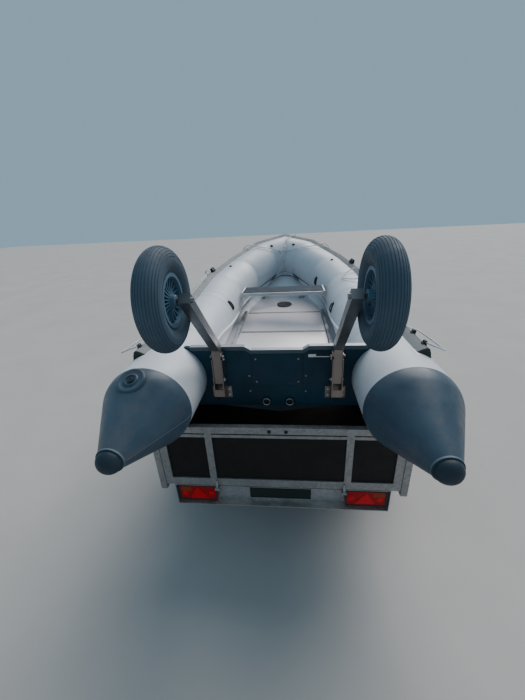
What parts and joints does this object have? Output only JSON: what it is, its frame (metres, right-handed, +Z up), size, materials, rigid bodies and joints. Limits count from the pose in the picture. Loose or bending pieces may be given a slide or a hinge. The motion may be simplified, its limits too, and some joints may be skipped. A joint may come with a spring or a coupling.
{
  "type": "inflatable boat on a box trailer",
  "caption": "Rigid-floor inflatable boat with pointed bow, stern cones and stowed launching wheels, carried on a parked box trailer.",
  "frame": {"origin": "on the ground under the centre of the whole outline", "axes": "+X to starboard, +Y forward towards the bow and the tow coupling, +Z up"},
  "size_m": [1.715, 3.7, 1.8499],
  "materials": {
    "tube_fabric": "coated fabric, satin, light grey",
    "cone_rubber": "moulded, satin, dark blue-grey",
    "cap_rubber": "moulded, satin, as the cones",
    "valve_plastic": "moulded valve, dark",
    "rope": "braided rope, weathered light grey",
    "strake_rubber": "extruded rubber, grey",
    "transom_board": "painted plywood, semi-gloss black",
    "floor_aluminium": "brushed and scuffed, satin",
    "motor_plate": "moulded pad, black",
    "drain_metal": "worn chrome",
    "stainless": "brushed stainless",
    "bow_board": "grey board, satin",
    "black_plastic": "moulded black",
    "bench": "ribbed, dark grey with bright edges",
    "hull_fabric": "coated fabric, grey",
    "galvanised": "galvanised steel, dull spangle",
    "black_panel": "laminate faced panel, satin black",
    "load_floor": "resin faced plywood, dark",
    "black_rubber": "black rubber",
    "lamp_red": "ribbed red lens",
    "plate_black": "blank plate",
    "guard_plastic": "moulded black",
    "zinc": "zinc plated",
    "lever_paint": "black lever",
    "launch_tyre": "ribbed tyre, dusty black",
    "launch_rim": "moulded spoked rim, dark",
    "road_tyre": "road tyre",
    "road_rim": "pressed steel, silver"
  },
  "bodies": {
    "trailer": {"bow_tube": "tube_fabric", "side_tube_port": "tube_fabric", "side_tube_starboard": "tube_fabric", "stern_cone_port": "cone_rubber", "stern_cone_starboard": "cone_rubber", "cone_caps": "cap_rubber", "cone_valve": "valve_plastic", "strake": "strake_rubber", "tube_fittings": "black_plastic", "lifeline_port": "rope", "lifeline_starboard": "rope", "bow_bridle": "rope", "bow_line": "rope", "transom": "transom_board", "transom_trim": "floor_aluminium", "motor_plates": "motor_plate", "drain_sockets": "drain_metal", "leg_brackets": "stainless", "floor_panel_aft": "floor_aluminium", "floor_panel_mid": "floor_aluminium", "floor_panel_fore": "floor_aluminium", "stringers": "floor_aluminium", "bow_board": "bow_board", "floor_hatch": "black_plastic", "bench": "bench", "hull_bottom": "hull_fabric", "corner_posts": "galvanised", "side_frame_port": "galvanised", "side_frame_starboard": "galvanised", "front_frame": "galvanised", "wall_panels": "black_panel", "load_floor": "load_floor", "keel_rest": "black_rubber", "rear_beam": "galvanised", "rear_lamps": "lamp_red", "plate": "plate_black", "side_members": "galvanised", "cross_members": "galvanised", "axle": "galvanised", "drawbar": "galvanised", "mudguards": "guard_plastic", "coupling": "zinc", "coupling_lever": "lever_paint", "jockey_clamp": "zinc", "jockey_tube": "zinc"},
    "tailgate": {"tailgate_frame": "galvanised", "tailgate_panel": "black_panel"},
    "leg_port": {"swing_leg_port": "stainless"},
    "leg_starboard": {"swing_leg_starboard": "stainless"},
    "launch_wheel_port": {"launch_tyre_port": "launch_tyre", "launch_rim_port": "launch_rim"},
    "launch_wheel_starboard": {"launch_tyre_starboard": "launch_tyre", "launch_rim_starboard": "launch_rim"},
    "road_wheel_port": {"road_tyre_port": "road_tyre", "road_rim_port": "road_rim"},
    "road_wheel_starboard": {"road_tyre_starboard": "road_tyre", "road_rim_starboard": "road_rim"},
    "jockey_caster": {"jockey_fork": "zinc"},
    "jockey_roller": {"jockey_wheel": "black_rubber"}
  },
  "joints": [
    {"name": "tailgate_hinge", "type": "hinge", "parent": "trailer", "child": "tailgate", "pos_m": [0, -1.372, 0.57], "axis": [1, 0, 0], "range_deg": [0, 180]},
    {"name": "leg_swing_port", "type": "hinge", "parent": "trailer", "child": "leg_port", "pos_m": [-0.288, -1.244, 1.17792], "axis": [1, 0, 0], "range_deg": [0, 115]},
    {"name": "leg_swing_starboard", "type": "hinge", "parent": "trailer", "child": "leg_starboard", "pos_m": [0.288, -1.244, 1.17792], "axis": [1, 0, 0], "range_deg": [0, 115]},
    {"name": "launch_spin_port", "type": "hinge", "parent": "leg_port", "child": "launch_wheel_port", "pos_m": [-0.365, -1.552, 1.66492], "axis": [1, 0, 0], "continuous": true},
    {"name": "launch_spin_starboard", "type": "hinge", "parent": "leg_starboard", "child": "launch_wheel_starboard", "pos_m": [0.365, -1.552, 1.66492], "axis": [1, 0, 0], "continuous": true},
    {"name": "road_spin_port", "type": "hinge", "parent": "trailer", "child": "road_wheel_port", "pos_m": [-0.76, -0.41, 0.285], "axis": [1, 0, 0], "continuous": true},
    {"name": "road_spin_starboard", "type": "hinge", "parent": "trailer", "child": "road_wheel_starboard", "pos_m": [0.76, -0.41, 0.285], "axis": [1, 0, 0], "continuous": true},
    {"name": "jockey_swivel", "type": "hinge", "parent": "trailer", "child": "jockey_caster", "pos_m": [-0.082, 1.4, 0.4], "axis": [0, 0, 1], "continuous": true},
    {"name": "jockey_spin", "type": "hinge", "parent": "jockey_caster", "child": "jockey_roller", "pos_m": [-0.082, 1.362, 0.1], "axis": [1, 0, 0], "continuous": true}
  ]
}
